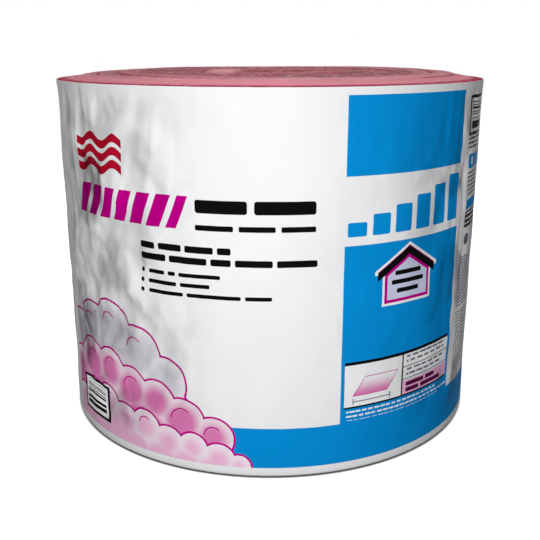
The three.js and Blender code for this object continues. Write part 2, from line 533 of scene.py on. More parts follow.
def batt_tree():
    """Winds a flat grid into one long batt: x goes along it, and y round its cross-section."""
    inputs = {name: ("NodeSocketFloat", 0.0) for name in (*LENGTHS, "Radius")}
    inputs["Steps"] = ("NodeSocketInt", 3000)
    inputs["Seed"] = ("NodeSocketFloat", 0.0)
    inputs["Material"] = ("NodeSocketMaterial", None)
    tree, given = new_tree("Wound batt", inputs)

    counts = {0: 1.0, 1: 1.0, 2: given["Steps"] + 1, 3: LOOP_POINTS + 1}
    grid = make(tree, "GeometryNodeMeshGrid", counts)
    flat_x, flat_y, _ = parts(make(tree, "GeometryNodeInputPosition"))
    rank = (0.5 - flat_y) * LOOP_POINTS
    packed, side = section(rank.math("ROUND"))
    inner, outer, turns, along = winding(flat_x, given)
    thickness = outer - inner

    # At its two ends the batt closes: every point of the loop is drawn into its middle.
    closed = abs(flat_x) > 0.5 - 1e-5
    across = packed * (1.0 - closed) + closed * 0.5
    level = side * (1.0 - closed) + closed * 0.5

    # Below the rim the whole winding is a little narrower, to keep clear of the film.
    margin = given["Gap"] / given["Pitch"] * 0.5
    radius = inner + thickness * (margin + across * (1.0 - margin * 2.0))
    held = radius * ((level > 0.9) * (1.0 - WAIST_SHARE) + WAIST_SHARE)
    angle = turns * TURN
    x = angle.cosine() * held
    y = angle.sine() * held
    moved_x, moved_y = settling(tree, x, y, radius, level, given)

    fullness = (thickness / FULL_THICKNESS).clamped()
    calm = 1.0 - radius.step(*CALM) * 0.9
    place = joined(tree, x, y, level * 0.1 + given["Seed"])
    relief = wool_relief(place, along, across, thickness, given) * fullness * calm
    groove = rounding(across, GROOVE_SHAPE)
    uneven = noise(joined(tree, along * 5.0, 0.0, 7.0), 1.0, 2.0).step(0.25, 0.75) * 1.3 + 0.35
    cut = given["Groove"] * groove * uneven * fullness * calm
    hollow = given["Dimple"] * radius.fall(*DIMPLE)
    bulge = given["Bulge"] * radius.fall(FILM_RADIUS - BULGE_WIDTH, FILM_RADIUS)
    upper = given["Width"] + bulge - hollow + relief - cut
    lower = radius.step(*HEM_CLEAR) * HEM_ROOM + hollow * LOWER_SHARE
    lower = lower + cut * LOWER_SHARE + abs(relief) * 0.35
    middle = given["Width"] - WAIST_DROP
    is_upper = level > 0.9
    is_lower = level < 0.1
    z = is_upper * upper + is_lower * lower + (1.0 - is_upper - is_lower) * middle

    stored = grid
    for name, kind, domain, value in (
        (BAKE_MAP, "FLOAT2", "CORNER", bake_place(tree, turns, radius, rank)),
        ("groove", "FLOAT", "POINT", groove),
        ("wound", "FLOAT_VECTOR", "POINT", joined(tree, along, across * thickness, relief)),
    ):
        inputs = {"Geometry": stored, "Name": name, "Value": value}
        stored = make(
            tree, "GeometryNodeStoreNamedAttribute", inputs, data_type=kind, domain=domain
        )
    spot = joined(tree, x + moved_x, y + moved_y, z)
    placed = make(tree, "GeometryNodeSetPosition", {"Geometry": stored, "Position": spot})
    merged = make(tree, "GeometryNodeMergeByDistance", {"Geometry": placed, "Distance": MERGE})
    end_tree(tree, merged, given["Material"])
    return tree


def wool_material(s):
    """Matt pink glass wool: layers along the turns, soft mottling, deeper in grooves and at the rim."""
    material, shader, place = new_material("Glass wool", 0.95)
    tree = place.tree
    wound = make(tree, "ShaderNodeAttribute", output="Vector", attribute_name="wound")
    groove = make(tree, "ShaderNodeAttribute", output="Fac", attribute_name="groove")
    x, y, z = parts(place)
    along, across, relief = parts(wound)
    radius = from_axis(x, y)

    layers = noise(joined(tree, along * 7.0, across * 420.0, z * 40.0), 1.0, 4.0, 0.6)
    bands = noise(joined(tree, along * 2.2, across * 90.0, 3.0), 1.0, 2.0)
    mottle = noise(place, 26.0, 4.0, 0.6)
    grain = noise(place, 900.0, 3.0, 0.7)

    # Painted light and shade: the outer turns are paler and the inner ones darker
    pale = radius.step(*PALE_LIGHT_BAND)
    stretches = noise(joined(tree, along * 1.3, 0.0, 5.0), 1.0, 1.0).step(0.30, 0.70)
    tone = layers.step(0.30, 0.70) * 0.35 + bands.step(0.35, 0.65) * 0.25 + stretches * 0.55
    tone = tone + mottle * 0.2 - 0.45 + pale * 0.62
    base = mix(tone.clamped(), rgba(s.mid), rgba(s.pale))
    # Painted shade at the rim, where the wool is also pressed denser against the film
    rim = radius.step(*RIM_SHADE_BAND)
    outer = radius.step(*OUTER_LIGHT_BAND)
    # Painted light: the turns just inside the rim are mixed towards a bright pink
    base = mix(outer * 0.75, base, rgba(s.outer))
    # Painted highlight where the wool stands proud
    raised = relief.step(*HIGHLIGHT_RELIEF) * (z > WOOL_HIGH.z / 2)
    base = mix(raised * 0.85, base, rgba(s.tuft_highlight))
    # Painted shade: the deep pink darkens the centre, the grooves and the rim
    centre_shade = radius.fall(*CENTRE_SHADE_BAND) * 0.35 * (1.0 - raised)
    groove_shade = groove.step(0.05, 0.8) * (1.0 - relief.step(*FILLED) * 0.9)
    depth = (groove_shade * 0.75 * (1.0 - outer * 0.6) + rim + centre_shade * mottle).clamped()
    base = mix(depth, base, rgba(s.shade_pink))
    # Pale single fibres, partly painted glints
    speck_glint = grain.step(0.62, 0.80) * 0.18
    base = mix(speck_glint, base, rgba(s.speck_glint))

    height = layers * (1.0 * MM) + grain * (0.4 * MM) + noise(place, 260.0, 3.0, 0.6) * (0.8 * MM)
    bump = make(tree, "ShaderNodeBump", {"Height": height, "Distance": 1.0, "Strength": 0.55})
    fill(shader, {"Base Color": base, "Normal": bump, "Specular IOR Level": 0.05})
    fill(shader, {"Sheen Weight": 0.05, "Sheen Roughness": 0.6, "Sheen Tint": rgba(s.sheen)})
    return material


class INSULATION_ROLL_OT_wind_batt(bpy.types.Operator):
    """Wind the glass-wool batt into a roll"""

    bl_idname = "insulation_roll.wind_batt"
    bl_label = "Wind Batt"

    def execute(self, context):
        s = context.scene.insulation_batt
        values = {name: getattr(s, name.lower()) for name in LENGTHS}
        values |= {"Radius": WOOL_RADIUS - s.gap, "Steps": s.steps, "Seed": float(s.seed)}
        batt = grow("glass_wool_batt", batt_tree(), values | {"Material": wool_material(s)})
        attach(batt, "root")
        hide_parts("wound_batt")
        return {"FINISHED"}


# --- Loose wisps ------------------------------------------------------------------------------

WISP_DROP = 0.012  # wisps grow on wool no further than this below the film's edge
WISP_SLOPE = 0.35  # and no steeper than this part of level
WISP_RIM = 0.006  # and no nearer to the film
WISP_TURN, WISP_LEAN, WISP_ROLL = 0.35, 0.10, 0.05  # the most that a wisp is askew, in radians
WISP_SIZES = (0.45, 1.25)


def fibre_tree():
    """Scatters short curved wisps over the upper end of the wool."""
    inputs = {
        "Wool": ("NodeSocketObject", None),
        "Density": ("NodeSocketFloat", 1000.0),
        "Length": ("NodeSocketFloat", 0.01),
        "Radius": ("NodeSocketFloat", 0.0002),
        "Lift": ("NodeSocketFloat", 0.001),
        "Seed": ("NodeSocketInt", 0),
        "Material": ("NodeSocketMaterial", None),
    }
    tree, given = new_tree("Wool fibres", inputs)
    wool = make(tree, "GeometryNodeObjectInfo", {"Object": given["Wool"]}, output="Geometry")
    position = make(tree, "GeometryNodeInputPosition")
    x, y, z = parts(position)
    _, _, up = parts(make(tree, "GeometryNodeInputNormal"))
    radius = from_axis(x, y)
    on_top = (z > FILM_TOP - WISP_DROP) * (up > WISP_SLOPE) * (radius < WOOL_RADIUS - WISP_RIM)
    inputs = {"Mesh": wool, "Selection": on_top, "Density": given["Density"], "Seed": given["Seed"]}
    scattered = make(tree, "GeometryNodeDistributePointsOnFaces", inputs)

    def random(low, high, shift):
        inputs = {2: low, 3: high, "Seed": given["Seed"] + shift}
        return make(tree, "FunctionNodeRandomValue", inputs, output=1, data_type="FLOAT")

    # A wisp lies along x, arched in the middle and thin at its ends.
    half = given["Length"] * 0.5
    arch = {
        "Resolution": 4,
        "Start": joined(tree, half * -1.0, 0.0, given["Lift"] * -0.3),
        "Middle": joined(tree, 0.0, half * 0.35, given["Lift"] * 2.0),
        "End": joined(tree, half, half * 0.1, given["Lift"] * -0.3),
    }
    wisp = make(tree, "GeometryNodeCurveQuadraticBezier", arch)
    along = make(tree, "GeometryNodeSplineParameter", output="Factor")
    taper = (along * math.pi).sine().most(0.0) * 0.8 + 0.2
    thin = make(tree, "GeometryNodeSetCurveRadius", {"Curve": wisp, "Radius": taper})
    inputs = {"Resolution": 3, "Radius": given["Radius"]}
    ring = make(tree, "GeometryNodeCurvePrimitiveCircle", inputs)
    inputs = {"Curve": thin, "Profile Curve": ring, "Fill Caps": True}
    tube = make(tree, "GeometryNodeCurveToMesh", inputs)

    # Wisps lie along the turns, some of them askew.
    turn = y.math("ARCTAN2", x) + math.pi / 2 + random(-WISP_TURN, WISP_TURN, 1)
    lean = joined(tree, random(-WISP_LEAN, WISP_LEAN, 2), random(-WISP_ROLL, WISP_ROLL, 3), turn)
    size = random(*WISP_SIZES, 4)
    scale = joined(tree, size, size, size)
    inputs = {"Points": scattered, "Instance": tube, "Rotation": lean, "Scale": scale}
    placed = make(tree, "GeometryNodeInstanceOnPoints", inputs)
    end_tree(tree, placed, given["Material"])
    return tree


def fibre_material(pale, glassy):
    """Pale, slightly glassy strands."""
    material, shader, place = new_material("Wool fibres", 0.6)
    tone = noise(place, 60.0, 2.0).step(0.35, 0.65)
    fill(shader, {"Base Color": mix(tone, rgba(pale), rgba(glassy)), "Specular IOR Level": 0.3})
    return material


class INSULATION_ROLL_OT_scatter_fibres(bpy.types.Operator):
    """Scatter loose wisps over the upper end of the wool"""

    bl_idname = "insulation_roll.scatter_fibres"
    bl_label = "Scatter Fibres"

    def execute(self, context):
        s = context.scene.insulation_fibres
        values = {
            "Wool": bpy.data.objects["glass_wool_batt"],
            "Density": s.density,
            "Length": s.span,
            "Radius": s.radius,
            "Lift": s.lift,
            "Seed": s.seed,
            "Material": fibre_material(context.scene.insulation_batt.pale, s.glassy),
        }
        fibres = grow("wool_fibres", fibre_tree(), values)
        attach(fibres, "root")
        return {"FINISHED"}


# --- The film sleeve: shape -------------------------------------------------------------------

NOISE_CELL = 6 * MM
DENT_LIMIT = 7.2 * MM  # no dent is deeper, so that the film stays clear of the wool
SHADE_DEPTHS = (1.2 * MM, 6.0 * MM)  # from here to here a dent grows darker with painted shade
SHEET_HEIGHT = 0.66  # of the noise sheets, a little over the film's own

# The noise sheets of the film: the least and greatest width of their features, how many times
# as tall they are, and how far they lean. The last two are for its upper edge and its hem.
PILLOWS = (0.11, 0.24)
TALL = (0.05, 0.10, 2.4)
WIDE = (0.08, 0.16, 0.6)
UPRIGHT = (0.035, 0.070, 3.5)
SLANTING = (0.05, 0.09, 2.0, 0.6)
PATCHES = (0.14, 0.28)
RIPPLES = (0.05, 0.12)
PLEATS = (0.008, 0.020)
RIPPLE_ROW, PLEAT_ROW = 3, 5  # the row of their sheets that these two take
RIPPLE_DEPTH = 0.12 * MM  # of the upper edge
RIPPLE_DROP = 0.02  # it fades out this far below the edge
PLEAT_DEPTH = 1.4 * MM  # of the hem
PLEATED = (-0.002, 0.026)  # it grows from here to here, going down and in past the lower edge

# Single dents, listed one by one, as strokes pressed into the film: from u, v to u, v, half the
# width and the depth, all in millimetres. A stroke's right side is steeper. A negative depth raises the
# film.
DENTS = (
    (-152, 552, -150, 512, 12, 1.6),
    (-268, 545, -262, 532, 11, 3.2),
    (-346, 600, -330, 524, 22, 4.4),
    (-232, 570, -236, 535, 14, 1.4),
    (-200, 492, -125, 484, 9, 1.6),
    (-222, 488, -150, 432, 11, 2.6),
    (-140, 447, -60, 449, 7, 0.9),
    (-318, 350, -268, 322, 8, 3.2),
    (-268, 358, -318, 318, 8, 3.0),
    (-296, 318, -282, 268, 12, 1.8),
    (-416, 244, -348, 262, 8, 2.4),
    (-256, 282, -182, 226, 12, 2.4),
    (-415, 420, -392, 350, 12, 2.6),
    (-340, 400, -330, 300, 16, 2.2),
    (-382, 330, -350, 296, 10, 2.0),
    (-205, 335, -196, 262, 11, 1.6),
    (-350, 230, -345, 130, 30, -2.2),
    (-238, 350, -232, 262, 28, -2.2),
    (-278, 300, -270, 255, 20, -1.8),
    (-120, 300, -128, 210, 16, 1.2),
    (298, 560, 290, 480, 14, 1.4),
    (318, 330, 306, 210, 14, 1.6),
    (250, 500, 244, 470, 16, 0.9),
    (232, 240, 205, 200, 16, 1.0),
    (300, 78, 255, 40, 14, 1.6),
    (398, 580, 404, 500, 8, 1.6),
    (366, 470, 372, 360, 10, 2.0),
    (392, 330, 384, 190, 11, 2.6),
)
STEEP_SIDE = 1.7
FLAT_PLACE = 0.463  # this far round from the front, on both sides
FLAT_WIDTH = 0.042
FLAT_DEPTH = 0.8 * MM

# How freely the film dents: a share on its front, and what more there is at its sides and
# behind, from so far round to so far round.
FRONT_SLACK = 0.18
LEFT_SLACK = (0.06, 0.22, 0.82)
RIGHT_SLACK = (0.22, 0.36, 0.3)
BACK_SLACK = (0.60, 0.72, 0.4)
TAUT_SHARE = 0.75  # of the slack is lost at the flat places
UPPER_GRIP = (1 * MM, 24 * MM)  # down from the upper edge
LOWER_GRIP = (14 * MM, 120 * MM)  # up from the floor

BEND_ROWS = 7  # rows of faces round the lower edge
HEM_PLACES = (-0.0265, -0.020, -0.0135)  # of the hem's rows, for the print
LIP_TAPER = 0.03  # the film thins to its lip over this height
BACK_SHADE_FADE = (0.50, 0.70)  # from here to here round the film, the painted shade in its hollows grows less dark
BACK_LIGHT = 0.7  # by this share
BLANK = 0.580  # a place up the film with no print on it, for its inside

# The strips of the bake map: where one starts, and how high it is
FRONT_STRIP = (0.0, 0.55)
BACK_STRIP = (0.555, 0.37)
INSIDE_STRIP = (0.93, 0.065)


def noise_sheet(columns, seed, low, high, stretch=1.0, lean=0.0):
    """Noise that closes round the film, with mean 0 and deviation 1: rows go up and columns round.
    Its features are from low to high metres wide, and stretch times as tall, leaning to one side."""
    around = TURN * FILM_RADIUS
    rows = round(SHEET_HEIGHT / NOISE_CELL)
    white = np.random.default_rng(seed).standard_normal((rows, columns))
    up = np.fft.fftfreq(rows, SHEET_HEIGHT / rows)[:, None]
    across = np.fft.fftfreq(columns, around / columns)[None, :]
    frequency = np.hypot((up + lean * across) * stretch, across)
    octave = np.log(np.maximum(frequency, 1e-6) * math.sqrt(low * high))
    kept = np.exp(-((octave / math.log(high / low)) ** 2) * 4)
    made = np.fft.ifft2(np.fft.fft2(white) * kept).real
    return made / made.std()


def smooth(x, low, high):
    """Rises smoothly from 0 at low to 1 at high."""
    t = np.clip((x - low) / (high - low), 0, 1)
    return t * t * (3 - 2 * t)


def smooth_share(distance, start, end, most):
    """Rises smoothly from 0 at the start to its most at the end."""
    return most * smooth(distance, start, end)


def dent_sheet(s, columns):
    """How far the film stands out from its round, in rows that are NOISE_CELL high. It lies in
    broad patches at two levels, with folds between them."""
    kinds = (PILLOWS, TALL, WIDE, UPRIGHT, SLANTING, PATCHES)
    sheets = [noise_sheet(columns, s.seed + k, *kind) for k, kind in enumerate(kinds)]
    pillows, tall, wide, upright, slanting, broad = sheets
    patches = smooth(broad, -0.3, 1.3)
    steps = s.pucker * (0.6 * smooth(tall, -0.45, 0.45) + 0.4 * smooth(wide, -0.5, 0.5))
    folds = s.crease * (0.4 * np.abs(upright) + 0.6 * patches * np.abs(slanting))
    return -(s.dent * 0.5 * pillows + steps + folds)


def stroke_depth(stroke, u, v):
    """How deep a dent made by hand is at each v and u, in metres."""
    start_u, start_v, end_u, end_v, half_width, depth = (value * MM for value in stroke)
    along_u, along_v = end_u - start_u, end_v - start_v
    from_u, from_v = u[None, :] - start_u, v[:, None] - start_v
    run = math.hypot(along_u, along_v)
    share = np.clip((from_u * along_u + from_v * along_v) / run**2, 0, 1)
    off_u, off_v = from_u - share * along_u, from_v - share * along_v
    away = np.hypot(off_u, off_v) / half_width
    away = np.where(off_u > 0, away * STEEP_SIDE, away)
    thin_end = 0.35 + 0.65 * smooth(0.5 - np.abs(share - 0.5), 0.0, 0.3)
    return depth * thin_end * np.exp(-(away**2))


def dents_at(sheet, u, v):
    """The dents of the film at each height v and place u round it."""
    heights = (np.arange(len(sheet)) + 0.5) * NOISE_CELL
    rows = np.array([np.interp(v, heights, column) for column in sheet.T]).T

    # The front is pulled tight, and the film is smooth where it grips its two ends.
    # It is also taut, and a little flat, halfway back on each side.
    aside = np.abs(u)
    slack = FRONT_SLACK + smooth_share(-u, *LEFT_SLACK) + smooth_share(u, *RIGHT_SLACK)
    slack = slack + smooth_share(aside, *BACK_SLACK)
    flat = (aside - FLAT_PLACE) / FLAT_WIDTH
    slack = slack * (1 - TAUT_SHARE * np.exp(-(flat**4)))
    rows = rows * slack[None, :] - FLAT_DEPTH * np.exp(-(flat**2))
    for stroke in DENTS:
        rows -= stroke_depth(stroke, u, v)
    grip = smooth(FILM_TOP - v, *UPPER_GRIP) * smooth(v, *LOWER_GRIP)
    return np.clip(rows, -DENT_LIMIT, DENT_LIMIT / 6) * grip[:, None]


def sleeve_profile(s):
    """The rows of the film from its hem, up the outside, over the lip and down the inside. Each is
    (radius, height, place up the film for the print). A second list has 1 for each outside row."""
    bend_radius = FILM_RADIUS - s.round_over
    bend_height = s.hem_lift + s.round_over
    hem_edge = bend_radius - s.hem

    def bend(radius, steps):
        angles = np.linspace(-math.pi / 2, 0, steps)
        run = (angles * s.round_over)[:, None]
        points = bend_radius + radius * np.cos(angles), bend_height + radius * np.sin(angles)
        return np.column_stack([*points, run + bend_height])

    def level(radii, heights, places):
        return np.column_stack(np.broadcast_arrays(radii, heights, places))

    evenly = np.linspace(bend_height, FILM_TOP - s.lip, s.rows)[1:]
    inside_wall = evenly[::-2]
    outside_wall = np.insert(evenly, -1, evenly[-1] - s.lip)
    hem_radii = np.array([hem_edge, hem_edge + s.hem / 3, hem_edge + s.hem * 2 / 3])
    thin = s.lip + (s.wall - s.lip) * smooth(FILM_TOP - inside_wall, 0.0, LIP_TAPER)
    lip_middle = FILM_RADIUS - s.lip / 2
    blocks = [
        (level(hem_radii, s.hem_lift, HEM_PLACES), 1),
        (bend(s.round_over, BEND_ROWS), 1),
        (level(FILM_RADIUS, outside_wall, outside_wall), 1),
        (level(lip_middle, FILM_TOP, FILM_TOP), 1),
        (level(FILM_RADIUS - thin, inside_wall, inside_wall), 0),
        (bend(s.round_over - s.wall, BEND_ROWS)[::-1], 0),
        (level(hem_radii, s.hem_lift + s.wall, HEM_PLACES)[::-1], 0),
    ]
    rows = np.concatenate([points for points, _ in blocks])
    outside = np.concatenate([np.full(len(points), side) for points, side in blocks])
    return rows, outside


def film_mesh(s):
    """The film as one closed shell, dented where it isn't pulled tight."""
    rows, outside = sleeve_profile(s)
    radii, heights, places = rows.T
    columns = s.columns
    share = np.arange(columns) / columns
    u = (share - 0.5) * TURN * FILM_RADIUS
    angle = u / FILM_RADIUS - math.pi / 2

    # The inside has fewer rows, so it keeps behind the deepest dent near each of its own.
    sheet = dent_sheet(s, columns)
    shift = FILM_TOP / s.rows
    near = [dents_at(sheet, u, heights + change) for change in (-shift, 0.0, shift)]
    dents = np.where(outside[:, None] == 1, near[1], np.minimum.reduce(near))
    ripple = noise_sheet(columns, s.seed + 8, *RIPPLES)[RIPPLE_ROW]
    pleats = noise_sheet(columns, s.seed + 9, *PLEATS)[PLEAT_ROW]
    near_top = smooth(heights, FILM_TOP - RIPPLE_DROP, FILM_TOP)[:, None]
    on_hem = smooth(-places, *PLEATED)[:, None]
    radius = radii[:, None] + dents - on_hem * (np.abs(pleats) * PLEAT_DEPTH)[None, :]
    height = heights[:, None] - near_top * (RIPPLE_DEPTH * (1 + np.clip(ripple, -1, 1)))[None, :]

    count = len(rows)
    points = np.stack([radius * np.cos(angle), radius * np.sin(angle), height], axis=2)
    index = np.arange(count * columns).reshape(count, columns)
    right, above = np.roll(index, -1, axis=1), np.roll(index, -1, axis=0)
    corner = np.roll(above, -1, axis=1)
    faces = np.stack([index, right, corner, above], axis=2).reshape(-1, 4)
    mesh = bpy.data.meshes.new("printed_sleeve")
    mesh.from_pydata(points.reshape(-1, 3).tolist(), [], faces.tolist())
    mesh.shade_smooth()

    # The hollows are darkened with painted shade. Light falls squarely on the back, so there they are
    # hardly darker than the rest.
    strength = 1 - BACK_LIGHT * smooth(np.abs(u), *BACK_SHADE_FADE)
    painted_shade = smooth(-dents, *SHADE_DEPTHS) * strength[None, :]
    hollow = mesh.attributes.new("hollow", "FLOAT", "POINT")
    hollow.data.foreach_set("value", painted_shade.ravel())

    printed = np.where(outside == 1, places, BLANK)
    lay_maps(mesh, u, printed, rows, outside)
    return mesh


def lay_maps(mesh, u, printed, rows, outside):
    """Gives the film its print map, in metres, and its bake map."""
    columns = len(u)
    count = len(printed)
    width = TURN * FILM_RADIUS
    left = np.tile(u, (count, 1))
    right = left + width / columns
    # The hem and the outside fill most of the bake map, and the inside a narrow strip of it.
    run = np.concatenate([[0.0], np.cumsum(np.hypot(*np.diff(rows[:, :2], axis=0).T))])
    last_outside = int(outside.sum()) - 1
    seen = run[last_outside]
    place = np.where(run <= seen, run / seen, 1 + (run - seen) / seen)
    next_place = np.append(place[1:], place[-1] + (run[1] - run[0]) / seen)

    def corners(first, second):
        return np.stack([first, first, second, second], axis=2)

    us = np.stack([left, right, right, left], axis=2)
    low = np.tile(printed[:, None], (1, columns))
    high = np.tile(np.append(printed[1:], printed[0])[:, None], (1, columns))
    high = np.where(outside[:, None] == 1, high, low)
    print_map = mesh.uv_layers.new(name=PRINT_MAP)
    print_map.data.foreach_set("uv", np.stack([us, corners(low, high)], axis=3).ravel())

    # Front half, back half and inside, each in a strip of the square as wide as it is.
    share = us / width + 0.5
    on_front = np.abs(left + width / columns / 2)[..., None] < width / 4
    starts = np.tile(place[:, None], (1, columns))
    ends = np.tile(next_place[:, None], (1, columns))
    v = corners(starts, ends)
    inside = v.mean(axis=2, keepdims=True) > 1
    front_u = (share - 0.25) * 2
    back_u = np.where(share.mean(axis=2, keepdims=True) > 0.5, (share - 0.75) * 2, share * 2 + 0.5)
    bake_u = np.where(inside, share, np.where(on_front, front_u, back_u))
    strips = ((v, FRONT_STRIP), (v, BACK_STRIP), (v - 1, INSIDE_STRIP))
    front_v, back_v, inside_v = (start + rise * size for rise, (start, size) in strips)
    bake_v = np.where(inside, inside_v, np.where(on_front, front_v, back_v))
    bake_map = mesh.uv_layers.new(name=BAKE_MAP)
    bake_map.data.foreach_set("uv", np.stack([bake_u, bake_v], axis=3).ravel())
    mesh.uv_layers.active = print_map


# --- The film sleeve: print -------------------------------------------------------------------


class Print:
    """Inks laid one over another on the film. Places and sizes are in millimetres."""

    def __init__(self, tree, inks, paper):
        self.tree = tree
        self.inks = inks
        where = make(tree, "ShaderNodeUVMap", uv_map=PRINT_MAP)
        u, v, _ = parts(where)
        self.u = u * (1 / MM)
        self.v = v * (1 / MM)
        self.place = joined(tree, self.u, self.v)
        self.colour = paper

    def lay(self, mask, ink):
        """Prints a shape over what is there, in an ink by its name or in a colour Field."""
        ink = self.inks[ink] if isinstance(ink, str) else ink
        self.colour = mix(mask, self.colour, ink)

    def lay_marks(self, marks):
        """Prints a list of marks. Each is an ink, the name of a shape and the shape's numbers."""
        for ink, shape, *numbers in marks:
            self.lay(getattr(self, shape)(*numbers), ink)

    def box(self, left, right, low, high):
        """A rectangle."""
        return self.u.between(left, right) * self.v.between(low, high)

    def bar(self, left, right, low, high, corner):
        """A rectangle with rounded corners."""
        middle = ((left + right) / 2, (low + high) / 2, 0)
        reach = ((right - left) / 2 - corner, (high - low) / 2 - corner, 0)
        aside = vector_math("ABSOLUTE", vector_math("SUBTRACT", self.place, middle))
        beyond = vector_math("MAXIMUM", vector_math("SUBTRACT", aside, reach), (0, 0, 0))
        return vector_math("LENGTH", beyond, output=1) < corner

    def distance(self, u, v):
        """How far it is from a point."""
        return vector_math("DISTANCE", self.place, (u, v, 0), output=1)

    def spot(self, u, v, radius):
        """A disc."""
        return self.distance(u, v) < radius

    def chance(self, cell):
        """A number from 0 to 1, drawn for each cell."""
        return make(self.tree, "ShaderNodeTexWhiteNoise", {"W": cell}, noise_dimensions="1D")

    def stripes(self, size, seed):
        """Level bars of uneven height, one over another."""
        return self.chance((self.v / size).floor() + seed) > 0.46

    def lines(self, left, right, low, high, pitch, weight, seed, word=14.0):
        """A block of short bars in rows, as plain as greeked small print."""
        row = ((high - self.v) / pitch).floor()
        in_row = ((high - self.v) / pitch).fraction().between(0, weight)
        offset = self.chance(row + seed)
        run = (self.u - left) / word + offset * 7.0
        inputs = {"Vector": joined(self.tree, run.floor(), row + seed)}
        length_here = make(self.tree, "ShaderNodeTexWhiteNoise", inputs, noise_dimensions="2D")
        solid = run.fraction() < 0.62 + length_here * 0.3
        ragged = self.u < right - offset * (right - left) * 0.22
        return self.box(left, right, low, high) * in_row * solid * ragged


# Marks of the print: an ink, a shape of Print, and its numbers. A box is left, right, low and
# high, a bar has its corner's radius too, and a spot is u, v and radius. Lines have the pitch
# of their rows, the inked share of it, a seed and the length of a bar after their box.

# Blue panels with the white band between them, and the band round the base.
PANEL_MARKS = (
    ("blue", "box", 108, 348, 462, 573),
    ("blue", "box", 108, 348, 83, 362),
    ("blue", "box", -60, 1150, 17, 83),
    ("film", "lines", 118, 344, 86, 102, 7.6, 0.38, 3, 11.0),
)
TABLE_FRAME = (
    ("film", "box", 114, 340, 106, 182),
    ("black", "box", 114, 340, 177, 182),
    ("black", "box", 114, 340, 106, 109),
    ("black", "box", 218, 221, 106, 182),
)
TABLE_MARKS = (
    ("slate", "box", 128, 196, 116, 117.6),
    ("slate", "box", 128, 129.8, 112, 122),
    ("slate", "box", 194, 195.8, 112, 122),
    ("blush", "box", 221, 340, 109, 132),
    ("slate", "box", 221, 340, 134, 135.6),
    ("slate", "box", 221, 340, 155, 156.6),
    ("slate", "lines", 228, 336, 160, 174, 8.0, 0.42, 21, 17.0),
    ("slate", "lines", 228, 336, 138, 152, 8.0, 0.42, 24, 17.0),
    ("plum", "bar", 228, 270, 122, 129, 1.5),
    ("plum", "bar", 275, 300, 122, 129, 1.5),
    ("plum", "bar", 228, 258, 112, 119, 1.5),
    ("plum", "bar", 263, 318, 112, 119, 1.5),
)
SIDE_MARKS = (
    ("black", "lines", 380, 462, 476, 497, 7.0, 0.5, 41),
    ("blue", "bar", 387, 462, 447, 470, 3),
    ("film", "spot", 406, 458.5, 7),
    ("black", "lines", 385, 460, 402, 442, 7.0, 0.45, 47),
    ("blue", "bar", 384, 462, 380, 396, 2),
    ("black", "box", 386, 462, 350, 377),
    ("film", "lines", 390, 458, 354, 374, 8.0, 0.45, 52),
    ("slate", "spot", 402, 329, 10),
    ("navy", "lines", 380, 456, 214, 300, 5.2, 0.42, 61, 9.0),
    ("slate", "lines", 372, 450, 104, 206, 5.6, 0.40, 71, 11.0),
)

# Rows of bars that stand for words: low, high, corner, and each bar's left and right
WORD_ROWS = (
    (411, 430, 4, (-108, -32), (-22, 65)),
    (386, 394, 2, (-108, -52), (-44, 8), (16, 65)),
    (352, 362, 2.5, (-203, -176), (-170, -132), (-126, -82), (-76, -56)),
    (335, 345, 2.5, (-203, -158), (-152, -92), (-86, -56), (-50, 4), (10, 68)),
    (315, 321, 2, (-188, -160), (-154, -142), (-136, -72)),
    (300, 306, 2, (-188, -140), (-134, -88)),
    (285, 291, 2, (-188, -130), (-124, -42), (-36, 3)),
)
BULLETS = ((-200, 318, 3.6), (-200, 303, 3.6), (-200, 288, 3.6))

SCALE = (112, 352, 375, 448)
SCALE_BARS = 6
WAVE_HEIGHTS = (502, 483, 464)
STROKE_SHIFT = 360  # the row of strokes starts this far left
STROKE_PITCH = 34
STROKES = 6.5  # the last one is cut short
CLOUD_CODE = (-388, -295, 34, 98, 2)  # box and seed
SIDE_CODE = (377, 462, 500, 563, 7)
SLAB = (160, 30, 141, 14)  # middle and half its width, middle and half its height

# Three banks of cloud, from the back to the front: the ink, and each puff's u, v and radius
CLOUDS = (
    ("grey", (
        (-392, 150, 62), (-340, 196, 44), (-282, 206, 50), (-222, 178, 48), (-172, 140, 44),
        (-300, 120, 90), (-190, 70, 80),
    )),
    ("rose", (
        (-402, 92, 50), (-348, 128, 46), (-290, 132, 40), (-238, 112, 42), (-186, 106, 38),
        (-140, 80, 42), (-88, 62, 36), (-330, 50, 80), (-220, 36, 74), (-130, 20, 60),
    )),
    ("blush", (
        (-396, 34, 42), (-346, 64, 38), (-300, 72, 34), (-256, 52, 36), (-208, 58, 32),
        (-166, 40, 32), (-122, 40, 28), (-80, 26, 30), (-48, 18, 22), (-280, 10, 60),
        (-180, 0, 50), (-350, 10, 60), (-235, 0, 55), (-135, 0, 45), (-90, 0, 42), (-400, 0, 45),
    )),
)
CLOUD = (-420, -24, 17, 262)
CLOUD_LINE = 3.4

# Curls inside the clouds: u, v, radius
CURLS = (
    (-286, 212, 20), (-350, 200, 17), (-226, 186, 18), (-346, 134, 18), (-288, 138, 16),
    (-236, 118, 17), (-140, 86, 17), (-88, 66, 14), (-300, 78, 14), (-208, 62, 13), (-344, 70, 15),
)
CURL_LINE = 2.2


def print_panels(sheet):
    """Blue panels and the band round the base."""
    sheet.lay_marks(PANEL_MARKS)


def print_scale(sheet):
    """Six rising bars in the white band."""
    left, right, low, high = SCALE
    pitch = (right - left) / SCALE_BARS
    for k in range(SCALE_BARS):
        start = left + k * pitch
        top = low + (high - low) * (k + 2) / (SCALE_BARS + 1)
        sheet.lay(sheet.bar(start, start + pitch * 0.76, low, top, 3), "blue")


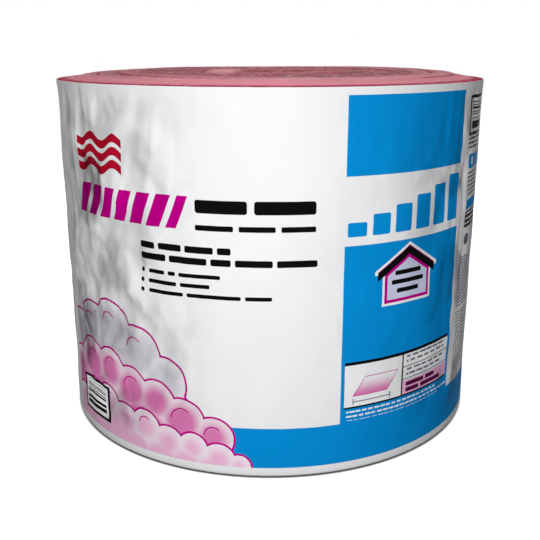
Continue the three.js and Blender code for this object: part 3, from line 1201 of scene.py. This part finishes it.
def print_waves(sheet):
    """Three thick wavy red bars."""
    left, right, wave_length, half_height = -350, -232, 59, 6.2
    wave = (sheet.u * (TURN / wave_length)).sine() * 6.0
    inside = sheet.u.between(left, right)
    for height in WAVE_HEIGHTS:
        sheet.lay((sheet.v + wave).near(height, half_height) * inside, "red")


def print_strokes(sheet):
    """A row of thick slanted magenta strokes."""
    low, high = 386, 434
    slant = (sheet.v - low) * 0.42
    run = (sheet.u - slant + STROKE_SHIFT) / STROKE_PITCH
    inside = run.between(0, STROKES) * sheet.v.between(low, high)
    sheet.lay(inside * (run.fraction() < 0.70), "magenta")


def print_words(sheet):
    """Plain bars where a heading, a slogan and a list stand."""
    for low, high, corner, *bars in WORD_ROWS:
        for left, right in bars:
            sheet.lay(sheet.bar(left, right, low, high, corner), "black")
    for bullet in BULLETS:
        sheet.lay(sheet.spot(*bullet), "black")


def print_code(sheet, left, right, low, high, seed):
    """A plain framed block of stripes."""
    sheet.lay(sheet.box(left, right, low, high), "black")
    sheet.lay(sheet.box(left + 7, right - 7, low + 5, high - 5), "film")
    inner = sheet.box(left + 13, right - 13, low + 9, high - 9)
    sheet.lay(inner * sheet.stripes(1.7, seed), "black")


def print_cloud(sheet):
    """Three banks of soft cloud with magenta outlines and curls, and a block of stripes on them."""
    inside = sheet.box(*CLOUD)
    for ink, puffs in CLOUDS:
        edge = None
        for u, v, radius in puffs:
            away = sheet.distance(u, v) - radius
            edge = away if edge is None else edge.least(away)
        sheet.lay((edge < 0.0) * inside, "magenta")
        lit = mix(edge.step(-26.0, -CLOUD_LINE) * 0.75, sheet.inks[ink], sheet.inks["film"])
        sheet.lay((edge < -CLOUD_LINE) * inside, lit)
    for u, v, radius in CURLS:
        ring = sheet.distance(u, v).near(radius, CURL_LINE / 2)
        sheet.lay(ring * (sheet.v > v) * (sheet.u < u + radius * 0.7), "magenta")
    print_code(sheet, *CLOUD_CODE)


def print_house(sheet):
    """A plain gabled house in the lower panel."""
    middle, half, overhang = 222, 44, 14
    floor, eaves, ridge = 268, 318, 352
    aside = abs(sheet.u - middle)
    roof = ridge - aside * 0.62

    def house(margin):
        reach = half + margin
        walls = sheet.box(middle - reach, middle + reach, floor - margin, eaves + 8)
        gable = (sheet.v > eaves - margin) * (sheet.v < roof + margin * 1.2)
        return walls.most(gable * (aside < reach + overhang))

    sheet.lay(house(5), "film")
    sheet.lay(house(1), "magenta")
    inner = sheet.box(middle - half + 4, middle + half - 4, floor + 4, eaves + 20)
    sheet.lay(inner * (sheet.v < roof - 18), "lilac")
    band = (sheet.v < roof) * (sheet.v > roof - 13) * (aside < half + overhang)
    sheet.lay(band, "black")
    for top, width in ((316, 26), (302, 32), (288, 22)):
        sheet.lay(sheet.bar(middle - width, middle + width, top - 7, top, 2), "black")


def print_table(sheet):
    """A white box with a slab's outline and ruled rows."""
    sheet.lay_marks(TABLE_FRAME)
    slant = sheet.u - (sheet.v - 128) * 0.7
    across, half_width, up, half_height = SLAB
    line = 1.2
    front = slant.near(across, half_width) * sheet.v.near(up, half_height)
    edge = slant.near(across, half_width + line) * sheet.v.near(up, half_height + line)
    sheet.lay(edge, "magenta")
    fade = (sheet.v - (up - half_height)).step(0.0, half_height * 2)
    sheet.lay(front, mix(fade, sheet.inks["rose"], sheet.inks["film"]))
    sheet.lay_marks(TABLE_MARKS)


def print_side(sheet):
    """The narrow panel of small marks on the right."""
    print_code(sheet, *SIDE_CODE)
    sheet.lay_marks(SIDE_MARKS)


# From the first ink to the last
PRINT_STEPS = (
    print_panels, print_scale, print_waves, print_strokes, print_words,
    print_cloud, print_house, print_table, print_side,
)

# How far the film's facets tilt: a share on its front, and what more there is at its sides and
# behind, between these distances round it. Its taut places start and end between two pairs.
FRONT_TILT = 0.10
LEFT_TILT = (0.08, 0.24)
RIGHT_TILT = (0.05, 0.20)
FAR_RIGHT_TILT = (0.20, 0.40)
BACK_TILT = (0.60, 0.72)
TAUT_START = (0.38, 0.44)
TAUT_END = (0.50, 0.56)
UPPER_FREE = (0.0, 0.09)  # down from the upper edge
LOWER_FREE = (0.02, 0.06)  # up from the floor
FACETS = ((19.0, 0.65, 0.66), (40.0, 0.60, 0.34))  # scale, squeeze upwards and share
FACET_SWAY = 0.030


def faceted(sheet, place, normal, tilt):
    """A normal that leans a different way in each soft-edged facet of the film. The front is pulled
    tight, and the film is smooth where it grips its two ends."""
    tree = sheet.tree
    aside = sheet.u * MM
    loose = (aside * -1.0).step(*LEFT_TILT) + aside.step(*RIGHT_TILT) * 0.20 + FRONT_TILT
    loose = loose + aside.step(*FAR_RIGHT_TILT) * 0.3
    far = abs(aside)
    behind = far.step(*BACK_TILT) * 0.3
    taut = far.step(*TAUT_START) * far.fall(*TAUT_END) * TAUT_SHARE
    height = sheet.v * MM
    free = (FILM_TOP - height).step(*UPPER_FREE) * height.step(*LOWER_FREE)
    share = (loose + behind).least(1.0) * (1.0 - taut) * free * tilt
    x, y, z = parts(place)
    stray = scaled(noise(place, 9.0, 2.0, output="Color"), FACET_SWAY)
    lean = None
    for scale, squeeze, part in FACETS:
        spot = vector_math("ADD", joined(tree, x, y, z * squeeze), stray)
        inputs = {"Vector": spot, "Scale": scale, "Smoothness": 0.35}
        facet = make(tree, "ShaderNodeTexVoronoi", inputs, "Color", feature="SMOOTH_F1")
        tilted = scaled(vector_math("SUBTRACT", facet, (0.5, 0.5, 0.5)), share * part)
        lean = tilted if lean is None else vector_math("ADD", lean, tilted)
    return vector_math("NORMALIZE", vector_math("ADD", normal, lean))


def film_material(film, inks):
    """Glossy white film with its print, and fine crinkles between its dents."""
    material, shader, place = new_material("Printed film", film.roughness)
    tree = place.tree
    colours = {name: rgba(getattr(inks, name)) for name in inks.__annotations__}
    paper = mix(noise(place, 9.0, 3.0) * 0.5, colours["film"], colours["cloudy"])
    sheet = Print(tree, colours, paper)
    for lay_part in PRINT_STEPS:
        lay_part(sheet)
    # Painted shade: the film's colour is darkened in its hollows
    hollow = make(tree, "ShaderNodeAttribute", output="Fac", attribute_name="hollow")
    with_painted_shade = mix(hollow * film.painted_shade_share, sheet.colour, (0, 0, 0, 1))
    rough = noise(place, 14.0, 3.0) * 0.16 + (film.roughness - 0.08)

    x, y, z = parts(place)
    folds = noise(joined(tree, x, y, z * 0.3), 24.0, 2.0, 0.45) * (1.3 * MM)
    soft = noise(place, 18.0, 1.0) * (1.5 * MM)
    crinkle = folds + soft + noise(place, 70.0, 3.0, 0.55) * (0.25 * MM)
    bump = make(tree, "ShaderNodeBump", {"Height": crinkle, "Distance": 1.0, "Strength": 0.6})
    leaning = faceted(sheet, place, bump, film.tilt)
    fill(shader, {"Base Color": with_painted_shade, "Roughness": rough, "Normal": leaning})
    fill(shader, {"Specular IOR Level": 0.002})
    return material


class INSULATION_ROLL_OT_wrap_film(bpy.types.Operator):
    """Wrap the printed film sleeve round the roll"""

    bl_idname = "insulation_roll.wrap_film"
    bl_label = "Wrap Film"

    def execute(self, context):
        s = context.scene.insulation_film
        film = add_object("printed_sleeve", film_mesh(s))
        film.data.materials.append(film_material(s, context.scene.insulation_print))
        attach(film, "root")
        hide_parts("film_sleeve")
        return {"FINISHED"}


# --- The stage --------------------------------------------------------------------------------

FLOOR_HALF = 6.0  # half the floor's width
FLOOR_PALE, FLOOR_SHADOW = 0.40, 0.14  # grey that the floor throws back, outside the roll and, as painted shadow, under it
PALE_FROM = 0.020  # the painted shadow fades to pale by this far outside the film
WHITE_EDGE = 0.003  # the floor turns white to the camera over this far on both sides of the film
SENSOR_WIDTH = 36.0  # of the camera, in millimetres

# Each lamp's name, the setting of its power, its place, its target and its width
LAMPS = (
    ("key", "key", (-0.10, -1.72, 0.72), (0.0, -0.2, 0.35), 0.6),
    ("rear_left", "rear", (-1.3, 2.2, 0.5), (0.0, 0.0, 0.3), 0.9),
    ("rear_right", "rear", (1.3, 2.2, 0.5), (0.0, 0.0, 0.3), 0.9),
    ("back", "back", (0.0, 2.2, 0.35), (0.0, 0.0, 0.3), 0.9),
    ("overhead", "overhead", (0.0, -0.2, 2.6), (0.0, 0.0, 0.5), 1.4),
)


def seen_directly(tree):
    """1 for camera, glossy and transmission rays, and 0 for the rays that light things."""
    path = tree.nodes.new("ShaderNodeLightPath")
    rays = ("Is Camera Ray", "Is Glossy Ray", "Is Transmission Ray")
    camera, glossy, through = (Field(tree, path.outputs[name]) for name in rays)
    return camera.most(glossy).most(through)


def add_floor():
    """A plain pale floor, white to the camera but for the roll's own shadow."""
    half = FLOOR_HALF
    corners = [(-half, -half, 0), (half, -half, 0), (half, half, 0), (-half, half, 0)]
    mesh = bpy.data.meshes.new("floor")
    mesh.from_pydata(corners, [], [(0, 1, 2, 3)])
    floor = add_object("floor", mesh)
    material, shader, place = new_material("Floor", 1.0)
    x, y, _ = parts(place)
    radius = from_axis(x, y)
    # Painted shadow: under the roll and just round it the floor is a darker grey
    lit = radius.step(FILM_RADIUS, FILM_RADIUS + PALE_FROM)
    shadow_grey, pale = ((grey, grey, grey, 1) for grey in (FLOOR_SHADOW, FLOOR_PALE))
    fill(shader, {"Base Color": mix(lit, shadow_grey, pale), "Specular IOR Level": 0.0})
    clear_of_roll = radius.step(FILM_RADIUS - WHITE_EDGE, FILM_RADIUS + WHITE_EDGE)
    glow = seen_directly(place.tree) * clear_of_roll
    fill(shader, {"Emission Color": (1, 1, 1, 1), "Emission Strength": glow})
    mesh.materials.append(material)


def add_world(ambient):
    """A white surround that lights the roll softly."""
    world = bpy.data.worlds.new("Studio")
    world.use_nodes = True
    tree = world.node_tree
    strength = seen_directly(tree) * (1.0 - ambient) + ambient
    fill(tree.nodes["Background"], {"Color": (1, 1, 1, 1), "Strength": strength})
    bpy.context.scene.world = world


def add_lamp(name, place, target, size, power):
    """A square soft lamp, turned to its target."""
    lamp = bpy.data.lights.new(name, "AREA")
    lamp.size = size
    lamp.energy = power
    made = bpy.data.objects.new(name, lamp)
    made.location = place
    aim = Vector(target) - Vector(place)
    made.rotation_euler = aim.to_track_quat("-Z", "Y").to_euler()
    bpy.context.scene.collection.objects.link(made)


def add_camera(s):
    """A camera in front of the roll, a little above its rim and looking down."""
    camera = bpy.data.cameras.new("camera")
    camera.lens = s.lens
    camera.sensor_width = SENSOR_WIDTH
    made = bpy.data.objects.new("camera", camera)
    made.location = (0.0, -s.distance, s.height)
    made.rotation_euler = (math.pi / 2 - s.pitch, 0.0, 0.0)
    bpy.context.scene.collection.objects.link(made)
    bpy.context.scene.camera = made


class INSULATION_ROLL_OT_set_stage(bpy.types.Operator):
    """Add the floor, lamps, surround and camera"""

    bl_idname = "insulation_roll.set_stage"
    bl_label = "Set Stage"

    def execute(self, context):
        s = context.scene.insulation_stage
        add_camera(s)
        add_floor()
        add_world(s.ambient)
        for name, setting, place, target, width in LAMPS:
            add_lamp(name, place, target, width, getattr(s, setting))
        context.scene.view_settings.view_transform = "Standard"
        return {"FINISHED"}


# --- Panel and main ---------------------------------------------------------------------------

GROUPS = {
    "insulation_batt": BattSettings,
    "insulation_fibres": FibreSettings,
    "insulation_film": FilmSettings,
    "insulation_print": PrintSettings,
    "insulation_stage": StageSettings,
}
OPERATORS = (
    INSULATION_ROLL_OT_set_stage,
    INSULATION_ROLL_OT_wind_batt,
    INSULATION_ROLL_OT_scatter_fibres,
    INSULATION_ROLL_OT_wrap_film,
)


class INSULATION_ROLL_PT_panel(bpy.types.Panel):
    """The roll's settings, and a button for each of its pieces"""

    bl_idname = "INSULATION_ROLL_PT_panel"
    bl_label = "Insulation Roll"
    bl_space_type = "VIEW_3D"
    bl_region_type = "UI"
    bl_category = "Insulation Roll"

    def draw(self, context):
        for name, group in GROUPS.items():
            column = self.layout.column(heading=group.__doc__)
            for setting in group.__annotations__:
                column.prop(getattr(context.scene, name), setting)
        for operator in OPERATORS:
            self.layout.operator(operator.bl_idname)


def register():
    for group in GROUPS.values():
        bpy.utils.register_class(group)
    for operator in OPERATORS:
        bpy.utils.register_class(operator)
    bpy.utils.register_class(INSULATION_ROLL_PT_panel)
    for name, group in GROUPS.items():
        setattr(bpy.types.Scene, name, PointerProperty(type=group))


def unregister():
    for name in GROUPS:
        delattr(bpy.types.Scene, name)
    bpy.utils.unregister_class(INSULATION_ROLL_PT_panel)
    for operator in reversed(OPERATORS):
        bpy.utils.unregister_class(operator)
    for group in reversed(list(GROUPS.values())):
        bpy.utils.unregister_class(group)


def main():
    register()
    bpy.ops.insulation_roll.set_stage()
    bpy.ops.insulation_roll.wind_batt()
    bpy.ops.insulation_roll.scatter_fibres()
    bpy.ops.insulation_roll.wrap_film()


if __name__ == "__main__":
    main()
